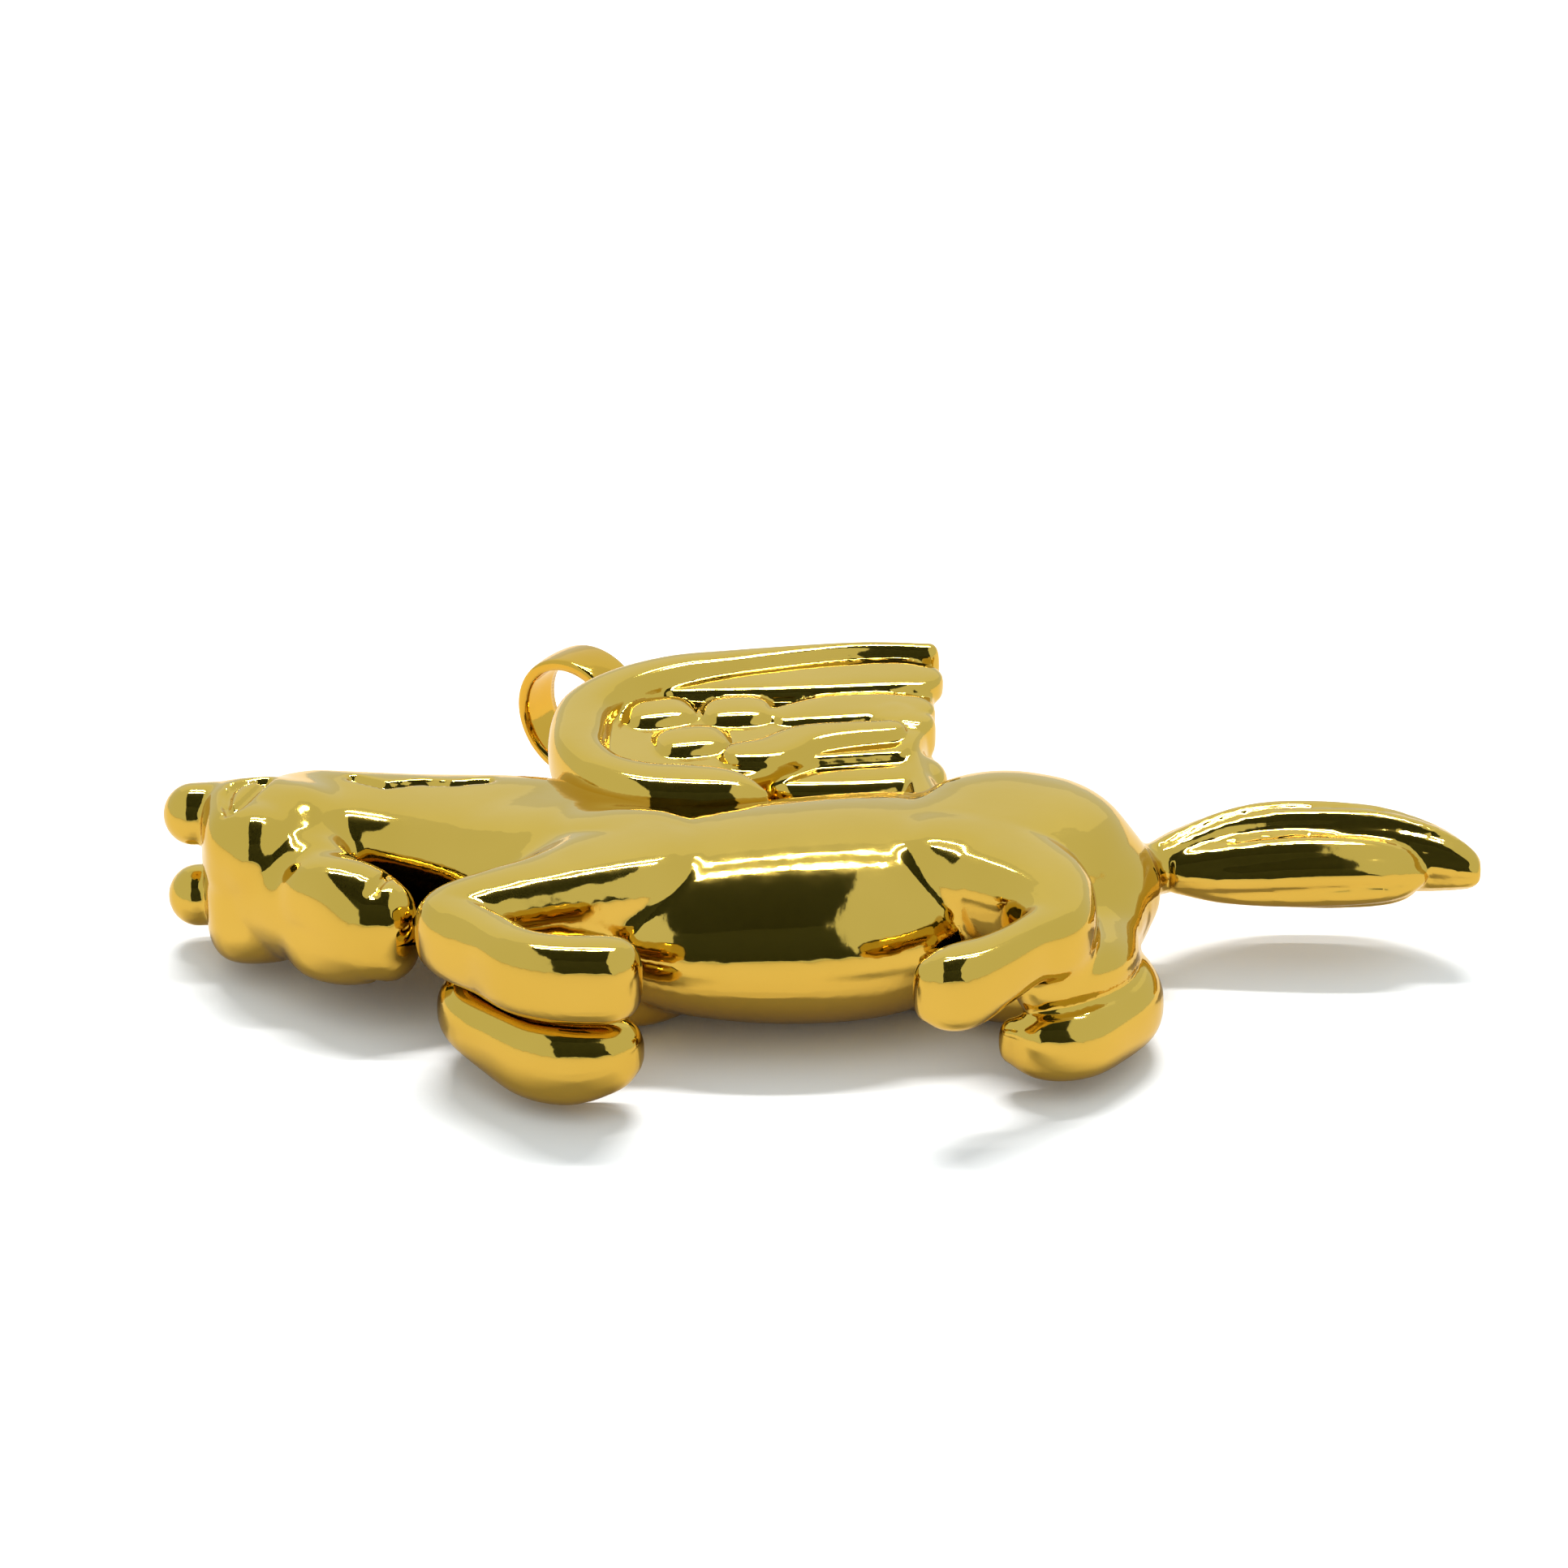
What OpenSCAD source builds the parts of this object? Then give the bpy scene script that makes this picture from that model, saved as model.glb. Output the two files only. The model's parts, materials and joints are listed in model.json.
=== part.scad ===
// Winged-horse pendant: a galloping horse with raised wings, hollow body halves soldered on the
// mid-plane, solid legs, tail and wings, and a chain bail that turns on a pin between the wings.
// The horse lies on its right side: X runs from head (-) to tail (+), Y from feet to back, Z up.

/* [Body] */
// Wall of the two hollow body halves
wall = 0.6; // [0.5:0.05:0.8]
// Half of the pendant's thickness, at the barrel and the hips
half_t = 3.5; // [3.4:0.05:3.7]

/* [Legs] */
// Distance of each leg's middle from the mid-plane
leg_z = 1.75; // [1.7:0.05:1.85]
// Half of a leg's thickness
leg_t = 1.65; // [1.4:0.05:1.65]

/* [Wings] */
// Slot between the two wings, which holds the bail's tongue
wing_gap = 1.2; // [1.1:0.05:1.4]
// Height of the wing's flat ground above the mid-plane
wing_ground = 2.6; // [2.4:0.05:2.8]
// Height of the wing's raised leading edge above the mid-plane
wing_top = 3.3; // [3.1:0.05:3.4]

/* [Bail] */
// Radius of the chain bore
bore_r = 2.0; // [1.6:0.05:2]
// Wall of the bail's tube
bail_wall = 0.45; // [0.4:0.05:0.45]
// Width of the bail's tube along its bore
bail_w = 1.8; // [1.4:0.1:1.8]
// Thickness of the bail's tongue
tongue_t = 0.9; // [0.8:0.05:0.9]
// Radius of the pivot pin
pin_r = 0.45; // [0.4:0.05:0.5]
// Radial clearance of the tongue on the pin
pin_play = 0.05; // [0.03:0.01:0.08]

/* [Hidden] */

gold = [0.83, 0.66, 0.26];
facets = 20;
fine = 48;
big = 60;                    // larger than the whole pendant
origin = [0.07, 12.13];        // middle of the length and height of the drawing below
LEFT = 1;
RIGHT = -1;

// A station is [x, y, half height in the plane, half thickness].
TRUNK = [
    [-10.6, 9.4, 2.2, 2.2],
    [-8.4, 10.0, 4.3, 2.9],
    [-6.4, 9.3, 4.6, 3.0],
    [-4.4, 8.5, 5.2, 3.2],
    [-0.8, 7.8, 5.0, half_t],
    [2.4, 8.6, 4.6, 3.2],
    [5.6, 9.8, 4.0, 3.0],
    [8.0, 9.8, 3.5, 2.8],
    [9.6, 9.5, 2.3, 2.1],
];
NECK = [
    [-8.4, 11.2, 4.0, 2.9],
    [-11.2, 11.7, 3.6, 2.7],
    [-14.6, 12.3, 2.8, 2.4],
    [-17.8, 12.8, 2.6, 2.6],
];
HEAD = [
    [-18.4, 12.2, 2.6, 2.8],
    [-19.2, 10.9, 2.5, 3.0],
    [-18.0, 9.4, 2.3, 2.7],
    [-16.6, 7.9, 1.9, 2.2],
    [-15.3, 6.9, 1.7, 2.0],
    [-14.6, 6.5, 1.4, 1.7],
];
EAR_Z = 1.55;
EAR = [
    [-20.0, 12.5, 1.3, 1.0],
    [-22.0, 12.4, 0.95, 0.95],
];
FORELEG = [
    [-6.0, 8.2, 2.2, leg_t],
    [-6.3, 6.9, 2.2, leg_t],
    [-8.3, 5.8, 1.75, leg_t],
    [-10.6, 4.9, 1.45, leg_t - 0.25],
    [-12.3, 3.8, 1.3, leg_t - 0.35],
    [-12.2, 2.9, 1.2, leg_t - 0.35],
    [-10.1, 0.75, 1.1, leg_t - 0.3],
    [-8.6, 0.4, 1.1, leg_t - 0.2],
    [-6.95, 0.4, 1.1, leg_t - 0.25],
];
// The far legs step off the near ones.
FAR_FORELEG = [
    [-6.0, 8.2, 2.2, leg_t],
    [-6.3, 7.0, 2.2, leg_t],
    [-8.4, 6.0, 1.7, leg_t - 0.1],
    [-10.4, 5.2, 1.4, leg_t - 0.35],
    [-11.5, 4.2, 1.3, leg_t - 0.45],
    [-11.6, 3.2, 1.2, leg_t - 0.45],
    [-9.6, 1.0, 1.1, leg_t - 0.2],
    [-8.4, 0.6, 1.1, leg_t - 0.15],
    [-6.9, 0.75, 1.1, leg_t - 0.3],
];
HIND_LEG = [
    [6.4, 9.5, 3.8, leg_t + 0.1],
    [5.4, 8.3, 3.3, leg_t + 0.1],
    [5.8, 7.2, 2.5, leg_t + 0.1],
    [7.2, 5.4, 1.85, leg_t],
    [7.7, 4.0, 1.45, leg_t - 0.1],
    [7.7, 2.7, 1.15, leg_t - 0.25],
    [6.8, 1.6, 0.9, leg_t - 0.35],
    [5.6, 0.5, 0.9, leg_t - 0.3],
    [4.4, -0.25, 1.05, leg_t - 0.2],
    [3.5, -0.45, 0.65, 1.1],
];
FAR_HIND_LEG = [
    [6.6, 9.4, 3.9, leg_t + 0.1],
    [6.6, 8.2, 3.4, leg_t + 0.1],
    [8.4, 6.8, 2.4, leg_t],
    [9.9, 5.4, 1.5, leg_t - 0.15],
    [10.3, 4.2, 1.15, leg_t - 0.3],
    [9.6, 2.8, 1.0, leg_t - 0.35],
    [8.6, 1.7, 1.0, leg_t - 0.35],
    [7.4, 1.45, 0.9, leg_t - 0.4],
    [6.5, 1.6, 0.5, 0.8],
];
TAIL = [
    [10.2, 10.3, 1.3, 1.3],
    [11.7, 11.1, 0.95, 0.95],
    [13.4, 12.0, 1.45, 1.3],
    [15.4, 12.2, 1.8, 1.6],
    [17.2, 12.1, 1.95, 1.65],
    [19.4, 11.9, 1.85, 1.6],
    [21.2, 11.5, 1.35, 1.3],
    [22.0, 11.3, 1.1, 1.0],
];

// Outline of a wing, from the leading edge's pointed end round the shoulder to the tips
WING = [
    [-2.4, 12.4], [-6.0, 12.3], [-8.7, 12.9], [-9.5, 14.4], [-9.6, 17.0], [-9.1, 18.9],
    [-7.9, 20.9], [-6.4, 21.4], [-4.8, 21.9], [-0.3, 22.5], [2.6, 22.9], [3.9, 22.8],
    [4.4, 21.4], [4.3, 18.6], [3.0, 16.4], [-0.3, 15.4], [-2.6, 14.7],
];
// The leading edge's raised band, inner side
BAND_INNER = [
    [3.2, 22.3], [-0.3, 21.6], [-4.8, 20.6], [-7.0, 19.2], [-7.7, 17.0], [-7.4, 14.6],
    [-6.2, 12.6],
];
// The band's lower end, which lies on the shoulder
BAND_FOOT = [
    [-9.3, 13.6], [-8.6, 11.4], [-7.4, 10.0], [-5.8, 9.2], [-3.8, 8.9], [-1.9, 9.4],
    [-3.4, 11.0], [-5.2, 11.5], [-6.6, 12.6],
];
band_foot_low = 2.6;         // underside of the band's end, on the shoulder
root_top = 1.9;              // below this height the wing stops at the back's crest
// The wing's outline below root_top, where it stands on the back
ROOT = concat([[-2.6, 14.7], [-4.6, 13.5], [-8.0, 14.1], [-9.55, 15.2]],
              [for (i = [4 : len(WING) - 2]) WING[i]]);
// The flange that joins the wing's rear to the back
FLANGE = [[-5.4, 13.2], [-0.6, 12.2], [2.6, 12.4], [4.2, 13.0], [4.2, 16.6], [3.0, 17.2], [-5.4, 17.2]];
flange_top = 1.5;
SCALLOPS = [[-5.8, 16.9], [-4.3, 14.6], [-2.5, 17.4], [-1.7, 15.9]];
scallop_r = 2.4;
scallop_h = 0.6;             // height of a scallop above the wing's ground
FEATHERS = [
    [[-3.6, 20.4], [4.3, 21.7]],
    [[-3.4, 19.3], [4.3, 20.0]],
    [[-0.4, 17.6], [4.1, 18.3]],
    [[-0.6, 16.2], [3.0, 16.9]],
];
feather_w = 0.55;
feather_h = 0.4;

// The bail leans against the wing's shoulder, bail_lean above the horizontal.
pivot = [-5.3, 21.0];
bail_lean = 35;
tongue_l = 4.2;              // from the pin to the middle of the bore
tongue_r = 0.75;
pin_l = 4.8;
bail_r = bore_r + bail_wall;

module lift() { translate([-origin[0], -origin[1], half_t]) children(); }
module blob(s, z = 0, inset = 0) {
    translate([s[0], s[1], z]) scale([s[2] - inset, s[2] - inset, s[3] - inset])
        sphere(r = 1, $fn = facets);
}
module chain_of(stations, z = 0, inset = 0) {
    for (i = [0 : len(stations) - 2]) {
        hull() {
            blob(stations[i], z, inset);
            blob(stations[i + 1], z, inset);
        }
    }
}
module horse_core(inset = 0) {
    chain_of(TRUNK, 0, inset);
    chain_of(NECK, 0, inset);
    chain_of(HEAD, 0, inset);
}
module ears() {
    for (side = [LEFT, RIGHT]) {
        chain_of(EAR, side * EAR_Z);
    }
}
module half_space(side) {
    translate([-big / 2, -big / 2, side == LEFT ? 0 : -big]) cube([big, big, big]);
}

// One hollow half of trunk, neck and head, open at the mid-plane.
module body_half(side) {
    color(gold) lift() intersection() {
        difference() {
            union() {
                horse_core();
                ears();
            }
            horse_core(wall);
        }
        half_space(side);
    }
}
// A solid leg, shaped at its top to sit on the body half.
module leg(stations, side) {
    color(gold) lift() difference() {
        chain_of(stations, side * leg_z);
        horse_core();
        half_space(-side);
    }
}
module left_shell() { body_half(LEFT); }
module right_shell() { body_half(RIGHT); }
module left_foreleg() { leg(FORELEG, LEFT); }
module right_foreleg() { leg(FAR_FORELEG, RIGHT); }
module left_hind_leg() { leg(HIND_LEG, LEFT); }
module right_hind_leg() { leg(FAR_HIND_LEG, RIGHT); }
module tail() {
    color(gold) lift() difference() {
        chain_of(TAIL);
        horse_core();
    }
}

module slab(outline, low, high) {
    translate([0, 0, low]) linear_extrude(high - low) polygon(outline);
}
module scallop(at) {
    translate([at[0], at[1], wing_ground + scallop_h - scallop_r]) sphere(r = scallop_r, $fn = fine);
}
module feather(ends) {
    run = ends[1] - ends[0];
    translate([ends[0][0], ends[0][1], wing_ground + feather_h - feather_w])
        rotate([0, 0, atan2(run[1], run[0])]) rotate([0, 90, 0])
            cylinder(r = feather_w, h = norm(run), $fn = fine);
}
// The left wing: ground plate, raised leading edge, scallops, long feathers and flange.
module wing() {
    low = wing_gap / 2;
    difference() {
        union() {
            slab(WING, root_top, wing_ground);
            slab(ROOT, low, root_top);
            slab(FLANGE, low, flange_top);
            slab(concat([for (i = [5 : 11]) WING[i]], BAND_INNER, [for (i = [2 : 4]) WING[i]]),
                 wing_ground - 0.1, wing_top);
            slab(BAND_FOOT, band_foot_low, wing_top);
            intersection() {
                slab(WING, low, wing_top);
                union() {
                    for (at = SCALLOPS) {
                        scallop(at);
                    }
                    for (ends = FEATHERS) {
                        feather(ends);
                    }
                }
            }
        }
        translate([pivot[0], pivot[1], -pin_l / 2]) cylinder(r = pin_r, h = pin_l, $fn = fine);
    }
}
module left_wing() { color(gold) lift() wing(); }
module right_wing() { color(gold) lift() mirror([0, 0, 1]) wing(); }
module pivot_pin() {
    color(gold) lift() translate([pivot[0], pivot[1], -pin_l / 2])
        cylinder(r = pin_r, h = pin_l, $fn = fine);
}
// Puts the bail's own frame, with the bore along Y and the pin at the origin, in its place.
module at_bail() {
    translate([pivot[0], pivot[1], 0]) rotate([0, 0, -bail_lean]) children();
}
module bore_axis() { translate([-tongue_l, 0, 0]) rotate([90, 0, 0]) children(); }
module bail_tube() {
    color(gold) lift() at_bail() bore_axis() difference() {
        cylinder(r = bail_r, h = bail_w, center = true, $fn = fine);
        cylinder(r = bore_r, h = bail_w + 1, center = true, $fn = fine);
    }
}
module bail_tongue() {
    color(gold) lift() at_bail() difference() {
        union() {
            cylinder(r = tongue_r, h = tongue_t, center = true, $fn = fine);
            translate([-tongue_l + bore_r, -tongue_r, -tongue_t / 2])
                cube([tongue_l - bore_r, 2 * tongue_r, tongue_t]);
        }
        cylinder(r = pin_r + pin_play, h = big, center = true, $fn = fine);
        bore_axis() cylinder(r = bail_r, h = big, center = true, $fn = fine);
    }
}

left_shell();
right_shell();
left_foreleg();
right_foreleg();
left_hind_leg();
right_hind_leg();
tail();
left_wing();
right_wing();
pivot_pin();
bail_tube();
bail_tongue();
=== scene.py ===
"""Looks of the winged-horse pendant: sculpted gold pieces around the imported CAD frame."""
import json
import math

import bpy
import numpy as np
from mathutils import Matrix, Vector


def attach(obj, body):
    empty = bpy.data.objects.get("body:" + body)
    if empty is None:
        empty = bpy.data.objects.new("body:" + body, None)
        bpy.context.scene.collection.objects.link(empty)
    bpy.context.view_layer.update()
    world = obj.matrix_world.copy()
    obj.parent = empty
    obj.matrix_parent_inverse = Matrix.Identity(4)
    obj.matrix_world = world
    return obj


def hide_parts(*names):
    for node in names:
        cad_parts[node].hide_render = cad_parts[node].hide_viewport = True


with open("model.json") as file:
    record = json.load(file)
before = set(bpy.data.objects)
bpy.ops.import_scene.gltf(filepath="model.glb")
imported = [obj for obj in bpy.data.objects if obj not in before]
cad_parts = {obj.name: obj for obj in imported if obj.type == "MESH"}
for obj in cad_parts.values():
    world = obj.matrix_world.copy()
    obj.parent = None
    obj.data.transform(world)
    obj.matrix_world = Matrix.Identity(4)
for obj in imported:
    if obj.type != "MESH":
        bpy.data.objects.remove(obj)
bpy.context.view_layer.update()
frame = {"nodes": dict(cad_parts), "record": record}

# ---------------------------------------------------------------- the drawing and the frame
# The horse is drawn in millimetres in the part's own drawing: x from head to tail, y from feet to back
# and z from the mid-plane towards the left side. The bail's pivot ties the drawing to the frame.
MM = 0.001
PIVOT = np.array([-5.3, 21.0, 0.0])
BAIL_JOINT = next(j for j in frame["record"]["behaviour"]["joints"] if j["name"] == "bail_swing")
CHAIN_BORE = next(m for m in frame["record"]["mounts"] if m["name"] == "chain_bore")
SHIFT = np.array(BAIL_JOINT["pos_m"]) / MM - PIVOT
LEFT, RIGHT = 1, -1

# How the distance fields are worked out, in millimetres
FAR = 9.0                    # stands for any distance outside a form's own window
MARGIN = 1.6                 # how far around a form its distances are worked out
LEAST_RADIUS = 0.05          # a limb never gets thinner than this
SLOPE_FLOOR = 0.25           # keeps the estimate finite near a form's middle
SWEEP_STEPS = 10             # points per span between two stations of a limb


def to_row(points):
    """Drawing millimetres to row-frame metres."""
    return (np.asarray(points, float) + SHIFT) * MM


# ---------------------------------------------------------------- distance fields
class Field:
    """A block of signed distances in the drawing, negative inside the metal."""

    def __init__(self, low, high, step):
        self.low = np.array(low, float)
        self.step = step
        counts = np.ceil((np.array(high) - self.low) / step).astype(int) + 1
        self.axes = [self.low[i] + step * np.arange(counts[i]) for i in range(3)]
        self.values = np.full(counts, FAR, np.float32)

    def empty(self):
        return np.full(self.values.shape, FAR, np.float32)

    def window(self, low, high):
        """The slices and the open coordinate grids of the part of the block between two corners."""
        cut = []
        for i in range(3):
            first = np.searchsorted(self.axes[i], low[i])
            last = np.searchsorted(self.axes[i], high[i])
            cut.append(slice(max(first, 0), max(last, first)))
        grids = np.ix_(*[self.axes[i][cut[i]].astype(np.float32) for i in range(3)])
        return tuple(cut), grids


def soft_min(a, b, k):
    """Union with a fillet of about k."""
    h = np.clip(0.5 + 0.5 * (b - a) / k, 0, 1)
    return b + (a - b) * h - k * h * (1 - h)


def soft_max(a, b, k):
    return -soft_min(-a, -b, k)


def swelled(u, w, ru, rw, power):
    """Distance from a (super)ellipse with radii ru and rw, given the offsets u and w from its middle."""
    a, b = u / ru, w / rw
    size = np.maximum(a ** power + b ** power, 1e-6) ** (1 / power)
    slope = np.hypot(a ** (power - 1) / ru, b ** (power - 1) / rw) * size ** (1 - power)
    return (size - 1) / np.maximum(slope, SLOPE_FLOOR / np.maximum(ru, rw))


def spline(stations, per_span):
    """Catmull-Rom curve through the stations, every number of a station alike."""
    s = np.array(stations, float)
    s = np.vstack([2 * s[0] - s[1], s, 2 * s[-1] - s[-2]])
    out = []
    for i in range(1, len(s) - 2):
        a, b, c, d = s[i - 1 : i + 3]
        for t in np.arange(per_span) / per_span:
            line = (c - a) * t
            square = (2 * a - 5 * b + 4 * c - d) * t**2
            cube = (3 * b - a - 3 * c + d) * t**3
            out.append(0.5 * (2 * b + line + square + cube))
    out.append(s[-2])
    return np.array(out)


def sweep(field, stations, power=2.0):
    """A swelling limb through stations [x, y, z, half height in the plane, half thickness]."""
    out = field.empty()
    path = spline(stations, SWEEP_STEPS)
    path[:, 3:] = np.maximum(path[:, 3:], LEAST_RADIUS)
    for a, b in zip(path[:-1], path[1:]):
        reach = max(a[3], b[3]) + MARGIN
        thick = max(a[4], b[4]) + MARGIN
        low = np.minimum(a[:3], b[:3]) - [reach, reach, thick]
        high = np.maximum(a[:3], b[:3]) + [reach, reach, thick]
        cut, (x, y, z) = field.window(low, high)
        run = b - a
        length = max(run[0] ** 2 + run[1] ** 2, 1e-9)
        t = np.clip(((x - a[0]) * run[0] + (y - a[1]) * run[1]) / length, 0, 1)
        across = np.hypot(x - a[0] - t * run[0], y - a[1] - t * run[1])
        through = np.abs(z - a[2] - t * run[2])
        d = swelled(across, through, a[3] + t * run[3], a[4] + t * run[4], power)
        out[cut] = np.minimum(out[cut], d)
    return out


def lump(field, centre, radii, turn, power=2.0):
    """An ellipsoid, turned about z by so many degrees."""
    out = field.empty()
    reach = max(radii[0], radii[1]) + MARGIN
    low = np.array(centre) - [reach, reach, radii[2] + MARGIN]
    high = np.array(centre) + [reach, reach, radii[2] + MARGIN]
    cut, (x, y, z) = field.window(low, high)
    c, s = math.cos(math.radians(turn)), math.sin(math.radians(turn))
    u = np.abs((x - centre[0]) * c + (y - centre[1]) * s) / radii[0]
    v = np.abs((y - centre[1]) * c - (x - centre[0]) * s) / radii[1]
    w = np.abs(z - centre[2]) / radii[2]
    size = np.maximum(u**power + v**power + w**power, 1e-6) ** (1 / power)
    x_part, y_part, z_part = [(n ** (power - 1) / radius) ** 2 for n, radius in zip((u, v, w), radii)]
    slope = np.sqrt(x_part + y_part + z_part) * size ** (1 - power)
    out[cut] = (size - 1) / np.maximum(slope, SLOPE_FLOOR / max(radii))
    return out


def line_distance(field, points, closed=False):
    """Distance in the plane from every grid column to a line through the points."""
    x, y = np.meshgrid(field.axes[0], field.axes[1], indexing="ij")
    pts = np.array(points, float)
    ends = np.roll(pts, -1, axis=0) if closed else pts[1:]
    out = np.full(x.shape, FAR)
    for a, b in zip(pts, ends):
        run = b - a
        t = np.clip(((x - a[0]) * run[0] + (y - a[1]) * run[1]) / max(run @ run, 1e-9), 0, 1)
        out = np.minimum(out, np.hypot(x - a[0] - t * run[0], y - a[1] - t * run[1]))
    return out


def outline_distance(field, points):
    """The same for a closed outline, negative inside it."""
    x, y = np.meshgrid(field.axes[0], field.axes[1], indexing="ij")
    inside = np.zeros(x.shape, bool)
    pts = np.array(points, float)
    for a, b in zip(pts, np.roll(pts, -1, axis=0)):
        if a[1] == b[1]:
            continue
        crosses = (a[1] > y) != (b[1] > y)
        inside ^= crosses & (x < (b[0] - a[0]) * (y - a[1]) / (b[1] - a[1]) + a[0])
    return line_distance(field, points, closed=True) * np.where(inside, -1, 1)


ENGRAVED_FROM = 1.5          # engraved lines stay above this height, off the walls by the mid-plane
ENGRAVED_EDGE = 0.05         # rounding of an engraved line's edges


def engrave(solid, field, points, half_width, depth, side):
    """Cuts a round-bottomed line into the surface, on one side of the mid-plane."""
    flat = line_distance(field, points)[:, :, None]
    groove = np.sqrt((flat / half_width) ** 2 + (solid / depth) ** 2) - 1
    groove = (groove * min(half_width, depth)).astype(np.float32)
    on_side = (field.axes[2] * side > ENGRAVED_FROM)[None, None, :]
    cut = soft_max(solid, -groove, ENGRAVED_EDGE)
    return np.where(on_side, cut, solid).astype(np.float32)


# ---------------------------------------------------------------- surfaces from fields
CORNERS = np.array([(i, j, k) for i in (0, 1) for j in (0, 1) for k in (0, 1)])
EDGES = [(a, b) for a in range(8) for b in range(a + 1, 8) if np.abs(CORNERS[a] - CORNERS[b]).sum() == 1]


def skin(values, low, step):
    """Surface nets: the zero surface of a block of distances, as points and outward quads."""
    inside = values < 0
    shape = tuple(n - 1 for n in values.shape)
    count = np.zeros(shape, np.int8)
    for i, j, k in CORNERS:
        count += inside[i : i + shape[0], j : j + shape[1], k : k + shape[2]]
    cells = np.argwhere((count > 0) & (count < 8))
    number = np.full(shape, -1, np.int64)
    number[tuple(cells.T)] = np.arange(len(cells))
    corner = np.stack([values[tuple((cells + c).T)] for c in CORNERS], axis=1)
    total = np.zeros((len(cells), 3))
    hits = np.zeros(len(cells))
    for a, b in EDGES:
        va, vb = corner[:, a], corner[:, b]
        cross = (va < 0) != (vb < 0)
        t = np.where(cross, va / np.where(cross, va - vb, 1), 0)
        point = CORNERS[a] + t[:, None] * (CORNERS[b] - CORNERS[a])
        total += point * cross[:, None]
        hits += cross
    points = low + step * (cells + total / hits[:, None])
    quads = []
    for axis in range(3):
        u, v = [(1, 2), (2, 0), (0, 1)][axis]
        first = [slice(None)] * 3
        second = [slice(None)] * 3
        first[axis], second[axis] = slice(None, -1), slice(1, None)
        change = inside[tuple(first)] != inside[tuple(second)]
        at = np.argwhere(change)
        at = at[(at[:, u] > 0) & (at[:, v] > 0) & (at[:, u] < shape[u]) & (at[:, v] < shape[v])]
        du, dv = np.eye(3, dtype=int)[u], np.eye(3, dtype=int)[v]
        ring = [number[tuple((at - du - dv).T)], number[tuple((at - dv).T)], number[tuple(at.T)],
                number[tuple((at - du).T)]]
        ring = np.stack(ring, axis=1)
        outward = inside[tuple(at.T)]
        quads.append(np.where(outward[:, None], ring, ring[:, ::-1]))
    quads = np.vstack(quads)
    return points, quads[(quads >= 0).all(axis=1)]


# Each round of smoothing draws the points in by the first share and back out by the second.
SMOOTH_IN, SMOOTH_OUT = 0.5, -0.53


def smooth(points, quads, rounds):
    """Taubin smoothing, which keeps the volume."""
    edges = np.vstack([quads[:, [i, (i + 1) % 4]] for i in range(4)])
    edges = np.unique(np.sort(edges, axis=1), axis=0)
    ends = np.concatenate([edges[:, 0], edges[:, 1]])
    others = np.concatenate([edges[:, 1], edges[:, 0]])
    degree = np.maximum(np.bincount(ends, minlength=len(points)), 1)[:, None]
    points = points.copy()
    for number in range(rounds * 2):
        pull = SMOOTH_IN if number % 2 == 0 else SMOOTH_OUT
        sums = [np.bincount(ends, points[others, i], len(points)) for i in range(3)]
        points += pull * (np.stack(sums, axis=1) / degree - points)
    return points


def corner_normals(points, quads):
    """Area-weighted normals of the points."""
    p = points[quads]
    face = np.cross(p[:, 2] - p[:, 0], p[:, 3] - p[:, 1])
    out = np.zeros_like(points)
    for i in range(4):
        for axis in range(3):
            out[:, axis] += np.bincount(quads[:, i], face[:, axis], len(points))
    return out / np.maximum(np.linalg.norm(out, axis=1), 1e-12)[:, None]


def new_object(name, points, faces):
    mesh = bpy.data.meshes.new(name)
    mesh.from_pydata([tuple(p) for p in points], [], [tuple(int(i) for i in f) for f in faces])
    mesh.update()
    obj = bpy.data.objects.new(name, mesh)
    bpy.context.scene.collection.objects.link(obj)
    return obj


def cap_faces(quads, points):
    """Closes each open rim of a patch with a fan: the new points and triangles."""
    directed = np.vstack([quads[:, [i, (i + 1) % 4]] for i in range(4)])
    known = set(map(tuple, directed.tolist()))
    follow = {}
    for a, b in known:
        if (b, a) not in known:
            follow.setdefault(b, []).append(a)
    extra, fans = [], []
    while follow:
        start = next(iter(follow))
        rim = [start]
        while True:
            nexts = follow.get(rim[-1])
            if not nexts:
                break
            step = nexts.pop()
            if not nexts:
                del follow[rim[-1]]
            if step == start:
                break
            rim.append(step)
        if len(rim) < 3:
            continue
        middle = len(points) + len(extra)
        extra.append(points[rim].mean(axis=0))
        fans += [(rim[i], rim[(i + 1) % len(rim)], middle) for i in range(len(rim))]
    return extra, fans


# ---------------------------------------------------------------- the horse
# Stations along each part: [x, y, z, half height in the plane, half thickness].
TRUNK = [
    [-10.6, 9.4, 0, 1.9, 2.1],
    [-8.6, 9.2, 0, 3.4, 2.6],
    [-6.4, 8.6, 0, 3.9, 2.75],
    [-4.4, 8.1, 0, 4.7, 2.95],
    [-1.8, 8.0, 0, 4.9, 3.32],
    [0.9, 8.4, 0, 4.95, 3.4],
    [2.9, 9.3, 0, 4.5, 3.1],
    [5.6, 9.7, 0, 3.7, 2.9],
    [8.0, 9.7, 0, 3.4, 2.75],
    [9.6, 9.5, 0, 2.1, 1.9],
]
NECK = [
    [-7.2, 10.4, 0, 3.3, 2.5],
    [-10.4, 11.2, 0, 3.5, 2.6],
    [-14.2, 12.2, 0, 2.85, 2.4],
    [-17.6, 12.7, 0, 2.45, 2.45],
]
HEAD = [
    [-18.6, 12.3, 0, 2.4, 2.5],
    [-19.1, 10.9, 0, 2.3, 2.8],
    [-18.0, 9.4, 0, 2.0, 2.4],
    [-16.7, 8.0, 0, 1.7, 2.0],
    [-15.6, 7.1, 0, 1.6, 2.0],
    [-14.8, 6.6, 0, 1.2, 1.8],
]
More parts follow.
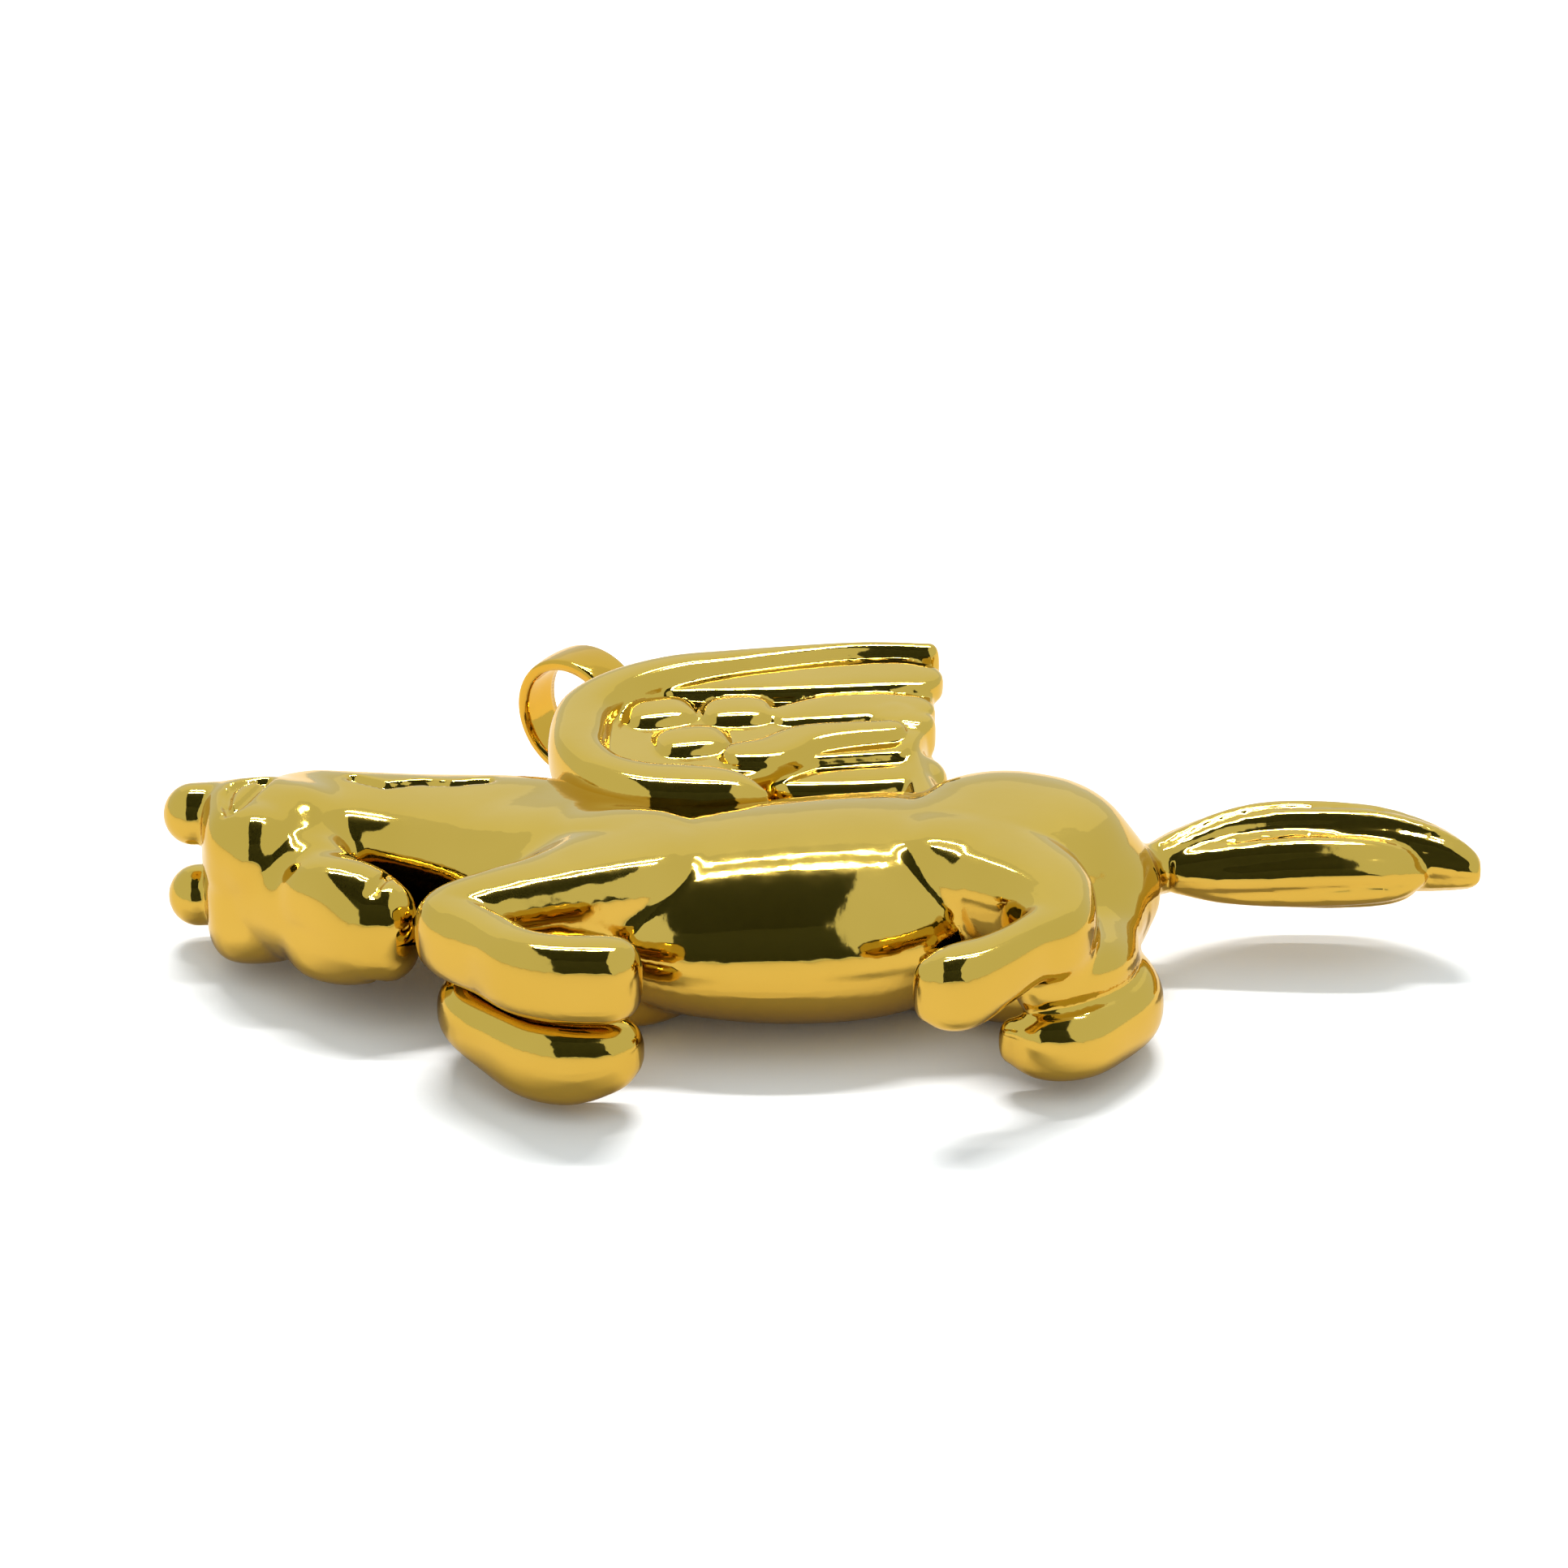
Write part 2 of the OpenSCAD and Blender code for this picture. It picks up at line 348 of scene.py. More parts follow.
FORELEG = [
    [-6.0, 8.2, 1.7, 2.2, 1.6],
    [-6.2, 6.9, 1.75, 2.2, 1.6],
    [-8.2, 5.8, 1.7, 1.75, 1.55],
    [-10.6, 4.9, 1.6, 1.45, 1.45],
    [-12.1, 4.2, 1.5, 1.35, 1.35],
    [-12.2, 3.4, 1.5, 1.2, 1.35],
    [-11.0, 2.1, 1.55, 1.05, 1.35],
    [-9.9, 0.9, 1.6, 1.05, 1.4],
    [-8.6, 0.4, 1.6, 1.05, 1.45],
    [-7.3, 0.35, 1.6, 1.1, 1.45],
    [-6.95, 0.4, 1.6, 1.05, 1.4],
]
FAR_FORELEG = [
    [-6.0, 8.2, 1.7, 2.2, 1.6],
    [-6.2, 7.0, 1.75, 2.2, 1.6],
    [-8.4, 6.0, 1.7, 1.7, 1.5],
    [-10.4, 5.2, 1.5, 1.4, 1.3],
    [-11.5, 4.2, 1.35, 1.3, 1.2],
    [-11.6, 3.2, 1.35, 1.2, 1.2],
    [-10.6, 1.9, 1.5, 1.1, 1.35],
    [-9.6, 1.0, 1.6, 1.1, 1.5],
    [-8.4, 0.6, 1.6, 1.1, 1.5],
    [-7.3, 0.7, 1.45, 1.1, 1.3],
    [-6.9, 0.8, 1.3, 1.0, 1.1],
]
HIND_LEG = [
    [6.4, 9.5, 1.75, 3.8, 1.75],
    [5.4, 8.3, 1.75, 3.3, 1.75],
    [5.8, 7.2, 1.75, 2.5, 1.75],
    [7.2, 5.4, 1.75, 1.85, 1.7],
    [7.7, 4.0, 1.75, 1.45, 1.55],
    [7.7, 2.7, 1.85, 1.15, 1.3],
    [6.8, 1.6, 2.0, 0.85, 1.1],
    [5.6, 0.5, 1.85, 0.9, 1.2],
    [4.4, -0.15, 1.6, 1.05, 1.4],
    [3.6, -0.35, 1.6, 0.7, 1.1],
]
FAR_HIND_LEG = [
    [6.6, 9.4, 1.75, 4.1, 1.75],
    [6.6, 8.2, 1.75, 3.4, 1.75],
    [8.4, 6.8, 1.7, 2.4, 1.6],
    [9.9, 5.4, 1.65, 1.5, 1.45],
    [10.3, 4.2, 1.65, 1.15, 1.3],
    [9.6, 2.9, 1.65, 1.0, 1.25],
    [8.6, 1.95, 1.65, 1.0, 1.25],
    [7.4, 1.75, 1.65, 0.9, 1.2],
    [6.3, 2.0, 1.65, 0.45, 0.8],
]
THROAT = [[-16.0, 9.35, 0, 0.35, 3.6], [-14.6, 8.5, 0, 0.5, 3.6], [-12.9, 7.2, 0, 0.6, 3.6]]
EAR = [[-20.4, 12.3, 1.6, 1.1, 1.1], [-21.85, 12.15, 1.6, 1.05, 1.1]]
# The web of metal between the two hind legs
WEB = [
    [8.2, 7.0, 0, 2.6, 1.3],
    [9.0, 4.4, 0, 1.5, 1.2],
    [8.0, 2.9, 0.3, 1.1, 1.3],
    [7.2, 2.4, 0.4, 0.9, 1.2],
]
TAIL = [
    [9.4, 10.1, 0, 1.2, 1.2],
    [10.9, 10.6, 0, 0.95, 0.95],
    [12.3, 11.6, 0.05, 1.1, 1.1],
    [13.9, 12.3, 0.1, 1.2, 1.4],
    [15.4, 12.6, 0.1, 1.3, 1.6],
    [17.2, 12.6, 0.1, 1.35, 1.65],
    [19.4, 12.4, 0.1, 1.35, 1.55],
    [21.0, 11.9, 0.1, 1.2, 1.3],
    [22.0, 11.4, 0.1, 1.0, 1.0],
    [22.7, 11.0, 0.05, 0.65, 0.65],
    [23.0, 10.9, 0.05, 0.15, 0.15],
]
TAIL_UNDER = [
    [12.2, 11.0, 0, 0.8, 0.8],
    [14.0, 11.2, -0.1, 1.2, 1.2],
    [16.4, 11.25, -0.1, 1.4, 1.4],
    [18.8, 11.15, -0.1, 1.35, 1.3],
    [20.2, 11.0, -0.1, 1.0, 1.0],
    [21.0, 10.8, -0.1, 0.3, 0.3],
]

# Engraved lines. The eye is the outline of a leaf on the brow, and the mane a wavy line under the crest.
EYE = [
    (-19.2, 12.2), (-19.5, 11.4), (-19.85, 10.5), (-20.05, 10.0), (-20.3, 9.8), (-20.45, 10.3),
    (-20.45, 11.0), (-20.3, 11.6), (-19.9, 12.0), (-19.5, 12.2), (-19.2, 12.2),
]
MANE = [(-16.4, 13.4), (-15.2, 12.8), (-14.0, 13.1), (-12.8, 12.8), (-11.6, 13.0)]
MOUTH = [(-15.5, 5.4), (-15.0, 6.5), (-14.6, 7.6)]
ENGRAVINGS = [  # points, half width, depth
    (EYE, 0.18, 0.24),
    (MANE, 0.2, 0.24),
    (MOUTH, 0.16, 0.2),
]

# The block that the horse's field fills, its grid and its rounds of smoothing
HORSE_LOW = (-24.4, -2.2, -4.02)
HORSE_HIGH = (24.4, 17.2, 4.02)
HORSE_STEP = 0.12
HORSE_ROUNDS = 8

CREASE = 0.3                 # fillet where a limb meets the barrel in a crease
SHOULDER_FLOW = (-6.0, 2.5, 1.3)  # x where the shoulder's fillet starts to grow, over what run, by how much
RUMP_FLOW = (5.5, 3.0, 1.0)  # the same for the thigh

LOBE_STEPS = 6               # points per span between two stations of the tail
LOBE_ROOM_Y = 3.5            # how far a lobe's distances are worked out beside it
LOBE_ROOM_Z = 4.0            # and above and below the mid-plane
LOBE_CAUTION = 0.85          # keeps a lobe's distances below the true ones
LOCK_SHARPNESS = 0.7         # under 1, the furrows between the locks are narrow
LOCK_ONSET = 4               # the locks reach their full depth within 1 / LOCK_ONSET of the lobe


def limb(field, stations, side, power=2.0):
    """A sweep on one side of the mid-plane."""
    return sweep(field, [[x, y, side * z, r, t] for x, y, z, r, t in stations], power)


def tail_lobe(field, stations, ridges, turn, depth):
    """A leaf of hair along x, its surface drawn into locks that turn about it as they run."""
    path = spline(stations, LOBE_STEPS)
    low = (path[0, 0], path[:, 1].min() - LOBE_ROOM_Y, -LOBE_ROOM_Z)
    high = (path[-1, 0], path[:, 1].max() + LOBE_ROOM_Y, LOBE_ROOM_Z)
    cut, (x, y, z) = field.window(low, high)
    y_middle, z_middle, tall, thick = [
        np.interp(field.axes[0], path[:, 0], path[:, i])[cut[0], None, None] for i in (1, 2, 3, 4)
    ]
    u = (y - y_middle) / tall
    w = (z - z_middle) / thick
    size = np.hypot(u, w)
    along = (x - path[0, 0]) / (path[-1, 0] - path[0, 0])
    lock = np.abs(np.sin(0.5 * ridges * (np.arctan2(w, u) + turn * along))) ** LOCK_SHARPNESS
    edge = 1 - depth * np.clip(along * LOCK_ONSET, 0, 1) * (1 - lock)
    scale = np.sqrt((u * tall) ** 2 + (w * thick) ** 2) / np.maximum(size, 1e-3)
    out = field.empty()
    out[cut] = ((size - edge) * scale * LOBE_CAUTION).astype(np.float32)
    return out


def tail_strands(field):
    """The tail's two lobes, one above the other."""
    upper = tail_lobe(field, TAIL, ridges=9, turn=0.9, depth=0.1)
    under = tail_lobe(field, TAIL_UNDER, ridges=7, turn=0.6, depth=0.12)
    return soft_min(upper, under, 0.12)


def head_masses(side):
    """The head's rounded masses on one side: centre, radii, turn, power and fillet."""
    brow = 1.6 if side == LEFT else 1.2
    cheek = ((-18.2, 11.4, side * 1.2), (1.9, 2.1, 1.75), 35, 2.0, 0.6)
    forehead = ((-19.65, 11.0, side * 1.2), (1.8, 2.3, 1.8), 8, 3.2, 0.3)
    brow_ridge = ((-19.4, 9.6, side * 1.45), (1.4, brow, brow), 10, 2.0, 0.3)
    muzzle = ((-16.6, 7.35, side * 0.95), (1.75, 1.2, 1.3), -20, 2.4, 0.35)
    return [cheek, forehead, brow_ridge, muzzle]


def build_body(field):
    """Trunk, neck and head, with the cut of the throat and the ears."""
    head = sweep(field, HEAD, power=2.3)
    for side in (LEFT, RIGHT):
        for centre, radii, turn, power, fillet in head_masses(side):
            head = soft_min(head, lump(field, centre, radii, turn, power), fillet)
    body = soft_min(sweep(field, TRUNK, power=2.1), sweep(field, NECK, power=3.2), 1.2)
    body = soft_min(body, head, 0.5)
    body = soft_max(body, -sweep(field, THROAT, power=3.0), 0.25)
    for side in (LEFT, RIGHT):
        body = soft_min(body, limb(field, EAR, side), 0.12)
    return body


def build_hind_leg(field, stations, side, power):
    """A hind leg with its stifle, the full lower corner of the thigh."""
    stifle = lump(field, (4.3, 7.5, side * 1.7), (2.4, 1.8, 1.75), -8, 2.4)
    return soft_min(limb(field, stations, side, power), stifle, 0.35)


def build_horse():
    """The fields of the horse: the whole, and each part that has its own CAD node."""
    field = Field(HORSE_LOW, HORSE_HIGH, HORSE_STEP)
    parts = {
        "body": build_body(field),
        "left_foreleg": limb(field, FORELEG, LEFT, 2.8),
        "right_foreleg": limb(field, FAR_FORELEG, RIGHT, 2.4),
        "left_hind_leg": build_hind_leg(field, HIND_LEG, LEFT, 2.9),
        "right_hind_leg": build_hind_leg(field, FAR_HIND_LEG, RIGHT, 2.4),
        "tail": tail_strands(field),
    }
    fore = soft_min(parts["left_foreleg"], parts["right_foreleg"], 0.3)
    hind = soft_min(parts["left_hind_leg"], parts["right_hind_leg"], 0.5)
    hind = soft_min(hind, sweep(field, WEB), 0.3)

    # The shoulder and the thigh flow into the neck and the rump, and end in a crease against the barrel.
    x = field.axes[0][:, None, None].astype(np.float32)
    start, run, extra = SHOULDER_FLOW
    fore_fillet = CREASE + extra * np.clip((start - x) / run, 0, 1)
    start, run, extra = RUMP_FLOW
    hind_fillet = CREASE + extra * np.clip((x - start) / run, 0, 1)
    whole = soft_min(parts["body"], fore, fore_fillet)
    whole = soft_min(whole, hind, hind_fillet)
    whole = soft_min(whole, parts["tail"], 0.5)
    for side in (LEFT, RIGHT):
        for points, half_width, depth in ENGRAVINGS:
            whole = engrave(whole, field, points, half_width, depth, side)
    return field, whole, parts


def sample(field, values, points):
    """The field's values at points, by the nearest node."""
    at = np.clip(np.rint((points - field.low) / field.step).astype(int), 0, np.array(values.shape) - 1)
    return values[tuple(at.T)]


def share_out(field, parts, middles):
    """Which faces of the horse's skin belong to each CAD node, by the nearest part to their middles."""
    owner = np.argmin([sample(field, values, middles) for values in parts.values()], axis=0)
    shares = {}
    for i, name in enumerate(parts):
        if name == "body":
            shares["left_shell"] = (owner == i) & (middles[:, 2] > 0)
            shares["right_shell"] = (owner == i) & (middles[:, 2] <= 0)
        else:
            shares[name] = owner == i
    return shares


def part_horse():
    """The horse's skin as one closed object per CAD node, with the whole skin's normals kept."""
    field, whole, parts = build_horse()
    points, quads = skin(whole, field.low, field.step)
    points = smooth(points, quads, HORSE_ROUNDS)
    normals = corner_normals(points, quads)
    out = {}
    for name, mask in share_out(field, parts, points[quads].mean(axis=1)).items():
        used, local = np.unique(quads[mask], return_inverse=True)
        local = local.reshape(-1, 4)
        extra, fans = cap_faces(local, points[used])
        verts = np.vstack([points[used], extra]) if extra else points[used]
        obj = new_object("horse_" + name, to_row(verts), [tuple(q) for q in local] + fans)
        obj.data.shade_smooth()
        directions = np.vstack([normals[used], np.tile([0.0, 0.0, 1.0], (len(extra), 1))])
        obj.data.normals_split_custom_set_from_vertices([tuple(n) for n in directions])
        out[name] = obj
    return out


# ---------------------------------------------------------------- the wings
# The plate's outline, from the shoulder round the leading edge to the tips and back
WING_PLATE = [
    [-3.0, 11.0], [-6.0, 11.0], [-8.0, 12.4], [-9.0, 14.4], [-9.1, 17.0], [-8.5, 18.9],
    [-7.4, 20.3], [-4.8, 21.3], [-0.3, 22.0], [2.6, 22.4], [3.9, 22.2], [4.1, 21.0],
    [3.9, 17.4], [2.8, 15.2], [-0.2, 14.8], [-1.6, 13.9], [-3.0, 13.2],
]
PLATE_GROWTH = 0.1           # how far the plate stands outside its outline
PLATE_MIDDLE = 1.45          # height of the plate's middle above the mid-plane
PLATE_HALF = 1.03            # half of its thickness
# The leading band and the parts inside it: [x, y, z, half width, half thickness].
WING_BAND = [
    [4.0, 22.35, 2.4, 0.4, 0.9],
    [1.8, 22.3, 2.4, 0.4, 0.98],
    [-0.3, 22.0, 2.35, 0.52, 1.05],
    [-3.2, 21.4, 2.3, 0.78, 1.1],
    [-5.3, 20.8, 2.3, 0.88, 1.15],
    [-7.2, 19.6, 2.25, 0.98, 1.2],
    [-8.35, 18.0, 2.25, 1.04, 1.2],
    [-8.6, 16.0, 2.25, 1.05, 1.2],
    [-8.4, 14.3, 2.3, 1.0, 1.15],
    [-7.5, 12.8, 2.35, 1.0, 1.1],
    [-6.1, 12.0, 2.4, 1.1, 1.05],
    [-4.7, 11.8, 2.45, 1.15, 1.0],
    [-3.3, 11.6, 2.5, 0.95, 0.9],
    [-2.1, 11.2, 2.45, 0.3, 0.6],
]
# The scallops' places in the plane and their turns in degrees
SCALLOPS = [(-5.75, 18.2, 15), (-4.55, 15.9, 12), (-2.95, 18.3, 5)]
SCALLOP_Z = 1.9
SCALLOP_RADII = (1.5, 1.2, 1.0)
FEATHERS = [
    [[-5.2, 19.9, 2.3, 0.5, 0.5], [-3.0, 20.1, 2.4, 0.9, 0.55], [-0.2, 20.5, 2.45, 1.2, 0.55],
     [2.4, 20.85, 2.45, 1.3, 0.55], [3.35, 20.8, 2.4, 1.15, 0.55]],
    [[-1.0, 18.1, 2.15, 0.9, 0.55], [0.4, 18.4, 2.25, 1.15, 0.55], [2.0, 18.6, 2.25, 1.15, 0.55],
     [3.1, 18.6, 2.2, 1.05, 0.55]],
    [[2.6, 17.9, 2.1, 1.0, 0.7], [3.3, 17.7, 1.9, 0.85, 0.8]],
    [[-2.7, 14.6, 2.0, 0.85, 0.95], [-1.7, 14.9, 2.0, 1.0, 0.95], [-0.6, 15.9, 2.0, 0.9, 0.95],
     [0.8, 16.3, 2.0, 0.7, 0.95], [2.5, 16.6, 2.0, 0.6, 0.9]],
]
WING_WALL = [[-0.8, 14.4, 1.2, 1.2, 0.9], [1.2, 14.7, 1.2, 1.5, 0.95], [3.0, 14.9, 1.2, 1.5, 0.95]]
WING_HEEL = [[3.0, 17.0, 1.5, 0.7, 1.0], [3.3, 15.0, 1.4, 0.6, 0.9], [3.7, 12.6, 1.3, 0.75, 1.0]]
SLOT = 0.6                   # half of the slot between the wings, which holds the bail's tongue

# The block that the wing's field fills, its grid and its rounds of smoothing
WING_LOW = (-10.4, 8.3, -0.1)
WING_HIGH = (5.2, 23.8, 3.9)
WING_STEP = 0.09
WING_ROUNDS = 3


def build_wing():
    """The left wing: a rounded leading band round a sunk field of scallops and long feathers."""
    field = Field(WING_LOW, WING_HIGH, WING_STEP)
    z = field.axes[2][None, None, :].astype(np.float32)
    flat = outline_distance(field, WING_PLATE)[:, :, None].astype(np.float32)
    plate = soft_max(flat - PLATE_GROWTH, np.abs(z - PLATE_MIDDLE) - PLATE_HALF, 0.3)
    out = soft_min(plate, sweep(field, WING_HEEL), 0.4)
    out = soft_min(out, sweep(field, WING_WALL, power=3.5), 0.2)
    out = soft_min(out, sweep(field, WING_BAND, power=2.8), 0.3)
    feathers = field.empty()
    for path in FEATHERS:
        feathers = soft_min(feathers, sweep(field, path, power=4), 0.06)
    out = soft_min(out, feathers, 0.12)
    for x, y, turn in SCALLOPS:
        out = soft_min(out, lump(field, (x, y, SCALLOP_Z), SCALLOP_RADII, turn, 3.0), 0.1)
    out = soft_max(out, SLOT - z, 0.15)
    points, quads = skin(out, field.low, field.step)
    return smooth(points, quads, WING_ROUNDS), quads


def part_wings():
    """The left wing and its mirror image."""
    points, quads = build_wing()
    out = {}
    for name, side in (("left_wing", LEFT), ("right_wing", RIGHT)):
        own = points * [1, 1, side]
        faces = quads if side == LEFT else quads[:, ::-1]
        obj = new_object("horse_" + name, to_row(own), faces)
        obj.data.shade_smooth()
        out[name] = obj
    return out


# ---------------------------------------------------------------- the bail
RING_BORE = CHAIN_BORE["dims"]["r_mm"]
RING_LONG = CHAIN_BORE["dims"]["length_mm"]
RING_OUTER = RING_BORE + 0.45
RING_STEPS = 96
RIM = 0.16                   # radius of the band's rounded rims
CROWN = 0.05                 # how far the band's middle stands above its rims
FLARE = 0.1                  # slope of the bore's widening towards its ends
FLARE_FROM = 0.8             # share of the half length at which the widening starts


def profile_ring(name, centre, axis, profile):
    """A band turned about an axis in the drawing's plane: profile is [(along the axis, radius)]."""
    axis = np.array(axis) / np.linalg.norm(axis)
    side = np.array([0.0, 0.0, 1.0])
    other = np.cross(axis, side)
    points, faces = [], []
    count = len(profile)
    for i in range(RING_STEPS):
        a = 2 * math.pi * i / RING_STEPS
        out = math.cos(a) * side + math.sin(a) * other
        points += [np.array(centre) + along * axis + radius * out for along, radius in profile]
        for j in range(count):
            k, n = (j + 1) % count, (i + 1) % RING_STEPS
            faces.append((i * count + j, i * count + k, n * count + k, n * count + j))
    return new_object(name, to_row(points), faces)


def ring_profile():
    """The band's section, a little crowned outside and rounded at its rims."""
    half = RING_LONG / 2
    rim_middle = RING_OUTER - CROWN - RIM
    out = []
    for i in range(13):
        u = -1 + 2 * i / 12
        out.append((u * (half - RIM), RING_OUTER - CROWN * u * u))
    for angle in (30, 60):
        a = math.radians(angle)
        out.append((half - RIM + RIM * math.sin(a), rim_middle + RIM * math.cos(a)))
    for i in range(7):
        u = 1 - 2 * i / 6
        out.append((u * half, RING_BORE + FLARE * max(abs(u) - FLARE_FROM, 0)))
    for angle in (60, 30):
        a = math.radians(angle)
        out.append((-half + RIM - RIM * math.sin(a), rim_middle + RIM * math.cos(a)))
    return out


def bail_ring():
    """The bail's tube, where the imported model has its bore."""
    centre = np.array(CHAIN_BORE["pos_m"]) / MM - SHIFT
    ring = profile_ring("bail_ring", centre, CHAIN_BORE["axis"], ring_profile())
    ring.data.shade_smooth()
    return ring


# ---------------------------------------------------------------- materials
def gold(name, light, deep, rough, scratch):
    """Polished yellow gold plate: a faint drift of colour, soft haze and hairline polishing marks."""
    mat = bpy.data.materials.new(name)
    mat.use_nodes = True
    nodes, links = mat.node_tree.nodes, mat.node_tree.links
    shader = nodes["Principled BSDF"]
    shader.inputs["Metallic"].default_value = 1.0
    coords = nodes.new("ShaderNodeTexCoord")
    millimetres = nodes.new("ShaderNodeMapping")
    millimetres.inputs["Scale"].default_value = (1000, 1000, 1000)
    links.new(coords.outputs["Object"], millimetres.inputs["Vector"])

    def noise(scale, detail):
        """Noise with so many waves per millimetre."""
        node = nodes.new("ShaderNodeTexNoise")
        node.inputs["Scale"].default_value = scale
        node.inputs["Detail"].default_value = detail
        links.new(millimetres.outputs["Vector"], node.inputs["Vector"])
        return node

    drift = noise(0.22, 2.0)
    ramp = nodes.new("ShaderNodeValToRGB")
    ramp.color_ramp.elements[0].position = 0.3
    ramp.color_ramp.elements[0].color = (*deep, 1)
    ramp.color_ramp.elements[1].position = 0.72
    ramp.color_ramp.elements[1].color = (*light, 1)
    links.new(drift.outputs["Fac"], ramp.inputs["Fac"])
    links.new(ramp.outputs["Color"], shader.inputs["Base Color"])

    haze = noise(1.3, 4.0)
    spread = nodes.new("ShaderNodeMapRange")
    spread.inputs["From Min"].default_value = 0.35
    spread.inputs["From Max"].default_value = 0.75
    spread.inputs["To Min"].default_value = rough[0]
    spread.inputs["To Max"].default_value = rough[1]
    links.new(haze.outputs["Fac"], spread.inputs["Value"])
    links.new(spread.outputs["Result"], shader.inputs["Roughness"])

    ripple = noise(0.9, 2.0)
    hairline = noise(9.0, 6.0)
    mix = nodes.new("ShaderNodeMath")
    mix.operation = "MULTIPLY_ADD"
    mix.inputs[1].default_value = scratch
    links.new(hairline.outputs["Fac"], mix.inputs[0])
    links.new(ripple.outputs["Fac"], mix.inputs[2])
    bump = nodes.new("ShaderNodeBump")
    bump.inputs["Strength"].default_value = 0.22
    bump.inputs["Distance"].default_value = 0.00005
    links.new(mix.outputs["Value"], bump.inputs["Height"])
    links.new(bump.outputs["Normal"], shader.inputs["Normal"])
    return mat


GOLD = gold("yellow_gold", (0.71, 0.49, 0.095), (0.67, 0.46, 0.08), (0.04, 0.09), 0.05)
WIRE = gold("yellow_gold_wire", (0.72, 0.45, 0.06), (0.68, 0.40, 0.045), (0.05, 0.10), 0.08)


def dress(obj, material, slot, body, *nodes):
    obj.data.materials.clear()
    obj.data.materials.append(material)
    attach(obj, body)
    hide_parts(*nodes)


for node, obj in {**part_horse(), **part_wings()}.items():
    dress(obj, GOLD, "gold", "pendant", node)
dress(bail_ring(), WIRE, "gold_wire", "bail", "bail_tube")

# The pin and the tongue keep their CAD shape.
for obj in frame["nodes"].values():
    if not obj.hide_render:
        for material_slot in obj.material_slots:
            material_slot.material = WIRE


# ---------------------------------------------------------------- the studio and the camera
FLOOR_REACH = 4000.0
FLOOR_DROP = 0.02            # keeps the floor just clear of the pendant
FLOOR_COLOUR = (0.9, 0.9, 0.9, 1)
SKY_COLOUR = (0.75, 0.81, 0.83, 1)

VIEW_ELEVATION = 27.0
TARGET = np.array([-0.07, -0.13, 3.0])
DISTANCE = 170.0
ASIDE, RAISED = -1.29, 2.98  # how far the camera moves sideways and up, without turning, to frame the pendant
SENSOR_WIDTH = 36.0
FOCAL_LENGTH = 111.5

# Cards that show only in reflections. The dark ones stand where a photographer leans over the object, and the
# warm one lies under it.
DARK = (0.02, 0.026, 0.012)
WARM = (0.6, 0.52, 0.42)
CARDS = {
    "dark_card_front": (
        DARK, [(-150, -330, 12), (150, -330, 12), (92, -293, 100), (66, -230, 250), (-150, -230, 250)]
    ),
    "floor_card": (
        WARM, [(-400, -500, -0.01), (400, -500, -0.01), (400, 400, -0.01), (-400, 400, -0.01)]
    ),
    "dark_card_top": (
        DARK, [(-150, -230, 250), (66, -230, 250), (58, 105, 330), (-120, 105, 330)]
    ),
}

# A row of small lamps behind the dark cards' upper edge
LAMPS = 13
LAMP_GAP = 16
LAMP_Y, LAMP_Z = 118, 330
LAMP_SIZE = (8, 18)
LAMP_POWER = 0.085


def matte(name, colour, roughness):
    """A plain studio surface's material."""
    mat = bpy.data.materials.new(name)
    mat.use_nodes = True
    shader = mat.node_tree.nodes["Principled BSDF"]
    shader.inputs["Base Color"].default_value = colour
    shader.inputs["Roughness"].default_value = roughness
    return mat


def plain_card(name, corners, colour):
    """A flat card of the studio, seen only in reflections."""
    obj = new_object(name, np.array(corners) * MM, [tuple(range(len(corners)))])
    obj.data.materials.append(matte(name, (*colour, 1), 0.9))
    obj.visible_camera = False
    obj.visible_shadow = False
    obj.visible_diffuse = False


